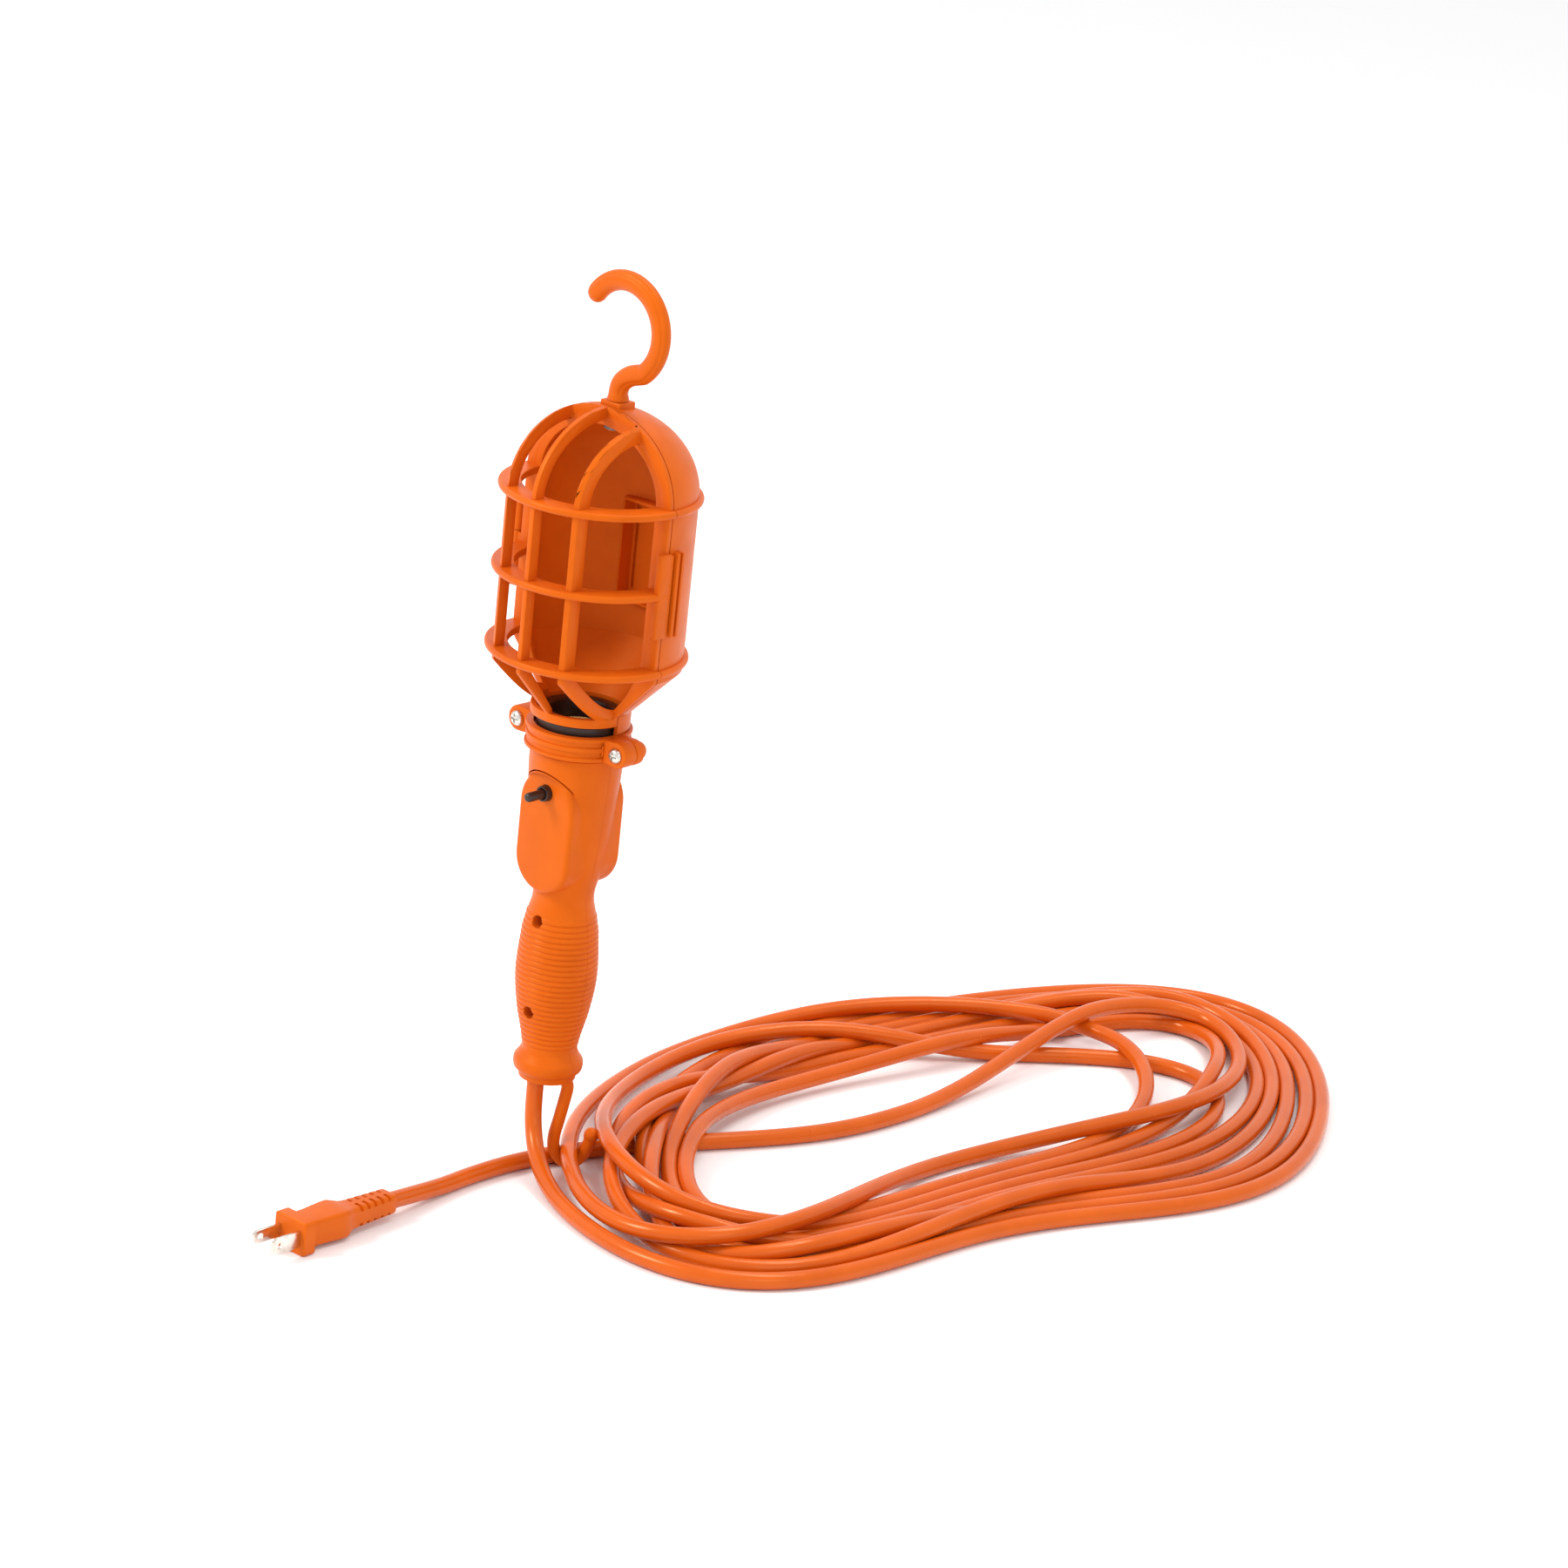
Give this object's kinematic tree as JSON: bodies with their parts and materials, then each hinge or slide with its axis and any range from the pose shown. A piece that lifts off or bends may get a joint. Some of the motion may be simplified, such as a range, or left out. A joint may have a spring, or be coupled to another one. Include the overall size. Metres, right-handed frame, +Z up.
{
  "type": "work light",
  "caption": "Hand-held trouble lamp: hinged cage guard over a screw socket, ribbed grip with push-through switch, hanging hook and a long coiled cord with a flat plug.",
  "frame": {"origin": "the inside of the top of the hanging hook, the point the light hangs from, on the hook's swivel axis", "axes": "+Z up along the lamp's axis, -Y the way the open cage and the switch pad face, +X to the right seen from the front"},
  "size_m": [0.2732, 0.6373, 0.4283],
  "materials": {
    "orange_plastic": "moulded safety orange, satin gloss",
    "orange_cord": "soft vinyl jacket, glossy",
    "black_phenolic": "dark moulded phenolic",
    "plated_steel": "bright zinc plate",
    "brass": "stamped brass",
    "black_insulation": "vinyl wire insulation",
    "white_insulation": "vinyl wire insulation"
  },
  "bodies": {
    "lamp": {"handle_front_shell": "orange_plastic", "handle_rear_shell": "orange_plastic", "collar_front": "orange_plastic", "collar_rear": "orange_plastic", "reflector_shell": "orange_plastic", "plug_body": "orange_plastic", "supply_cord_drop": "orange_cord", "supply_cord_coil": "orange_cord", "supply_cord_tail": "orange_cord", "socket_housing": "black_phenolic", "switch_bushing_front": "black_phenolic", "switch_bushing_rear": "black_phenolic", "switch_frame": "black_phenolic", "cord_grip": "black_phenolic", "handle_screw_lower": "plated_steel", "handle_screw_upper": "plated_steel", "collar_screw_left": "plated_steel", "collar_screw_right": "plated_steel", "hinge_pin": "plated_steel", "socket_screw_shell": "brass", "socket_center_contact": "brass", "terminal_screw_live": "brass", "terminal_screw_neutral": "brass", "switch_terminal_line": "brass", "switch_terminal_load": "brass", "plug_blade_narrow": "brass", "plug_blade_wide": "brass", "wire_line": "black_insulation", "wire_load": "black_insulation", "wire_neutral": "white_insulation"},
    "guard": {"guard_grille": "orange_plastic"},
    "hook": {"hanging_hook": "orange_plastic", "hook_retainer": "plated_steel"},
    "switch": {"switch_rod": "black_phenolic"},
    "lower_hook": {"cord_hook": "orange_plastic"}
  },
  "joints": [
    {"name": "guard_hinge", "type": "hinge", "parent": "lamp", "child": "guard", "pos_m": [-0.0476, -0.0056, -0.1279], "axis": [0, 0, -1], "range_deg": [0, 110]},
    {"name": "hook_swivel", "type": "hinge", "parent": "lamp", "child": "hook", "pos_m": [0, 0, -0.0434], "axis": [0, 0, 1], "continuous": true},
    {"name": "switch_push", "type": "slide", "parent": "lamp", "child": "switch", "axis": [0, 1, 0], "range_m": [0, 0.008]},
    {"name": "cord_hook_swivel", "type": "hinge", "parent": "lamp", "child": "lower_hook", "pos_m": [0.0069, 0.0001, -0.3734], "axis": [0, 0, 1], "range_deg": [-20, 20]}
  ]
}
